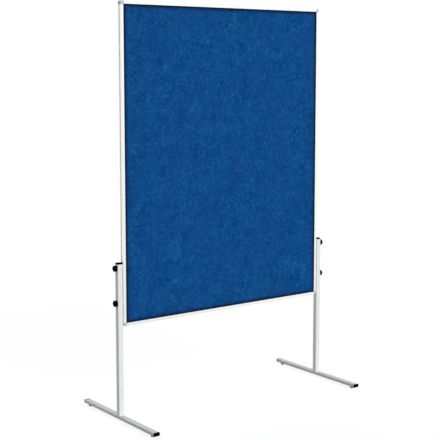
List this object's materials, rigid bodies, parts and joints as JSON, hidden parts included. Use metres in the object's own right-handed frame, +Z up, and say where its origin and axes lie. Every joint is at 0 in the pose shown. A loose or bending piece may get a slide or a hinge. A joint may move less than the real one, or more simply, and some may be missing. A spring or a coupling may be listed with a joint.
{
  "type": "presentation pinboard",
  "caption": "Free-standing felt pinboard in an aluminium frame, held between two T-shaped stands by hand knobs that let it slide to another height.",
  "frame": {"origin": "on the floor, midway between the two stands and under the middle of the board's thickness", "axes": "+X along the board's width to the right seen from the front, +Y from the front to the back, +Z up"},
  "size_m": [1.2864, 0.622, 1.95],
  "materials": {
    "blue_felt": "needle-punched felt",
    "fibre_core": "raw soft fibre board",
    "frame_aluminium": "silver anodised",
    "grey_corner_plastic": "moulded, fine grain",
    "silver_coated_steel": "silver-grey powder coat",
    "black_plastic": "moulded, fine grain",
    "grey_glide_plastic": "moulded",
    "white_nylon": "turned nylon",
    "zinc_steel": "bright zinc plate"
  },
  "bodies": {
    "left_stand": {"left_leg": "silver_coated_steel", "left_foot_bar": "silver_coated_steel", "left_leg_cap": "black_plastic", "left_front_foot_cap": "black_plastic", "left_rear_foot_cap": "black_plastic", "left_leg_plug": "zinc_steel", "left_foot_bolt": "zinc_steel", "left_foot_bolt_washer": "zinc_steel", "left_clamp_sleeves": "zinc_steel", "left_clamp_spacers": "white_nylon", "left_slot_nuts": "zinc_steel", "left_leveller_inserts": "zinc_steel"},
    "board": {"panel_core": "fibre_core", "front_felt": "blue_felt", "rear_felt": "blue_felt", "top_profile": "frame_aluminium", "bottom_profile": "frame_aluminium", "left_profile": "frame_aluminium", "right_profile": "frame_aluminium", "top_left_corner": "grey_corner_plastic", "top_right_corner": "grey_corner_plastic", "bottom_left_corner": "grey_corner_plastic", "bottom_right_corner": "grey_corner_plastic"},
    "right_stand": {"right_leg": "silver_coated_steel", "right_foot_bar": "silver_coated_steel", "right_leg_cap": "black_plastic", "right_front_foot_cap": "black_plastic", "right_rear_foot_cap": "black_plastic", "right_leg_plug": "zinc_steel", "right_foot_bolt": "zinc_steel", "right_foot_bolt_washer": "zinc_steel", "right_clamp_sleeves": "zinc_steel", "right_clamp_spacers": "white_nylon", "right_slot_nuts": "zinc_steel", "right_leveller_inserts": "zinc_steel"},
    "left_lower_knob_washer": {"left_lower_knob_washer": "zinc_steel"},
    "left_lower_knob": {"left_lower_knob": "black_plastic", "left_lower_knob_stud": "zinc_steel"},
    "left_upper_knob_washer": {"left_upper_knob_washer": "zinc_steel"},
    "left_upper_knob": {"left_upper_knob": "black_plastic", "left_upper_knob_stud": "zinc_steel"},
    "left_front_leveller_pad": {"left_front_leveller_pad": "grey_glide_plastic"},
    "left_front_leveller_screw": {"left_front_leveller_screw": "zinc_steel"},
    "left_rear_leveller_pad": {"left_rear_leveller_pad": "grey_glide_plastic"},
    "left_rear_leveller_screw": {"left_rear_leveller_screw": "zinc_steel"},
    "right_lower_knob_washer": {"right_lower_knob_washer": "zinc_steel"},
    "right_lower_knob": {"right_lower_knob": "black_plastic", "right_lower_knob_stud": "zinc_steel"},
    "right_upper_knob_washer": {"right_upper_knob_washer": "zinc_steel"},
    "right_upper_knob": {"right_upper_knob": "black_plastic", "right_upper_knob_stud": "zinc_steel"},
    "right_front_leveller_pad": {"right_front_leveller_pad": "grey_glide_plastic"},
    "right_front_leveller_screw": {"right_front_leveller_screw": "zinc_steel"},
    "right_rear_leveller_pad": {"right_rear_leveller_pad": "grey_glide_plastic"},
    "right_rear_leveller_screw": {"right_rear_leveller_screw": "zinc_steel"}
  },
  "joints": [
    {"name": "board_height", "type": "slide", "parent": "left_stand", "child": "board", "axis": [0, 0, 1], "range_m": [-0.42, 0.07]},
    {"name": "right_stand_height", "type": "slide", "parent": "board", "child": "right_stand", "axis": [0, 0, 1], "range_m": [-0.07, 0.42]},
    {"name": "left_lower_knob_travel", "type": "slide", "parent": "left_stand", "child": "left_lower_knob_washer", "axis": [-1, 0, 0], "range_m": [0, 0.002]},
    {"name": "left_lower_knob_turn", "type": "hinge", "parent": "left_lower_knob_washer", "child": "left_lower_knob", "pos_m": [-0.6301, 0, 0.561], "axis": [-1, 0, 0], "range_deg": [0, 720]},
    {"name": "left_upper_knob_travel", "type": "slide", "parent": "left_stand", "child": "left_upper_knob_washer", "axis": [-1, 0, 0], "range_m": [0, 0.002]},
    {"name": "left_upper_knob_turn", "type": "hinge", "parent": "left_upper_knob_washer", "child": "left_upper_knob", "pos_m": [-0.6301, 0, 0.726], "axis": [-1, 0, 0], "range_deg": [0, 720]},
    {"name": "left_front_leveller_travel", "type": "slide", "parent": "left_stand", "child": "left_front_leveller_pad", "axis": [0, 0, -1], "range_m": [0, 0.0075]},
    {"name": "left_front_leveller_turn", "type": "hinge", "parent": "left_front_leveller_pad", "child": "left_front_leveller_screw", "pos_m": [-0.616, -0.27695, 0.0055], "axis": [0, 0, -1], "range_deg": [0, 2160]},
    {"name": "left_rear_leveller_travel", "type": "slide", "parent": "left_stand", "child": "left_rear_leveller_pad", "axis": [0, 0, -1], "range_m": [0, 0.0075]},
    {"name": "left_rear_leveller_turn", "type": "hinge", "parent": "left_rear_leveller_pad", "child": "left_rear_leveller_screw", "pos_m": [-0.616, 0.27695, 0.0055], "axis": [0, 0, -1], "range_deg": [0, 2160]},
    {"name": "right_lower_knob_travel", "type": "slide", "parent": "right_stand", "child": "right_lower_knob_washer", "axis": [1, 0, 0], "range_m": [0, 0.002]},
    {"name": "right_lower_knob_turn", "type": "hinge", "parent": "right_lower_knob_washer", "child": "right_lower_knob", "pos_m": [0.6301, 0, 0.561], "axis": [1, 0, 0], "range_deg": [0, 720]},
    {"name": "right_upper_knob_travel", "type": "slide", "parent": "right_stand", "child": "right_upper_knob_washer", "axis": [1, 0, 0], "range_m": [0, 0.002]},
    {"name": "right_upper_knob_turn", "type": "hinge", "parent": "right_upper_knob_washer", "child": "right_upper_knob", "pos_m": [0.6301, 0, 0.726], "axis": [1, 0, 0], "range_deg": [0, 720]},
    {"name": "right_front_leveller_travel", "type": "slide", "parent": "right_stand", "child": "right_front_leveller_pad", "axis": [0, 0, -1], "range_m": [0, 0.0075]},
    {"name": "right_front_leveller_turn", "type": "hinge", "parent": "right_front_leveller_pad", "child": "right_front_leveller_screw", "pos_m": [0.616, -0.27695, 0.0055], "axis": [0, 0, -1], "range_deg": [0, 2160]},
    {"name": "right_rear_leveller_travel", "type": "slide", "parent": "right_stand", "child": "right_rear_leveller_pad", "axis": [0, 0, -1], "range_m": [0, 0.0075]},
    {"name": "right_rear_leveller_turn", "type": "hinge", "parent": "right_rear_leveller_pad", "child": "right_rear_leveller_screw", "pos_m": [0.616, 0.27695, 0.0055], "axis": [0, 0, -1], "range_deg": [0, 2160]}
  ],
  "couplings": [
    {"joint": "right_stand_height", "follows": "board_height", "ratio": -1},
    {"joint": "left_lower_knob_turn", "follows": "left_lower_knob_travel", "rad_per_m": 6283.2},
    {"joint": "left_upper_knob_turn", "follows": "left_upper_knob_travel", "rad_per_m": 6283.2},
    {"joint": "left_front_leveller_turn", "follows": "left_front_leveller_travel", "rad_per_m": 5026.5},
    {"joint": "left_rear_leveller_turn", "follows": "left_rear_leveller_travel", "rad_per_m": 5026.5},
    {"joint": "right_lower_knob_turn", "follows": "right_lower_knob_travel", "rad_per_m": 6283.2},
    {"joint": "right_upper_knob_turn", "follows": "right_upper_knob_travel", "rad_per_m": 6283.2},
    {"joint": "right_front_leveller_turn", "follows": "right_front_leveller_travel", "rad_per_m": 5026.5},
    {"joint": "right_rear_leveller_turn", "follows": "right_rear_leveller_travel", "rad_per_m": 5026.5}
  ]
}
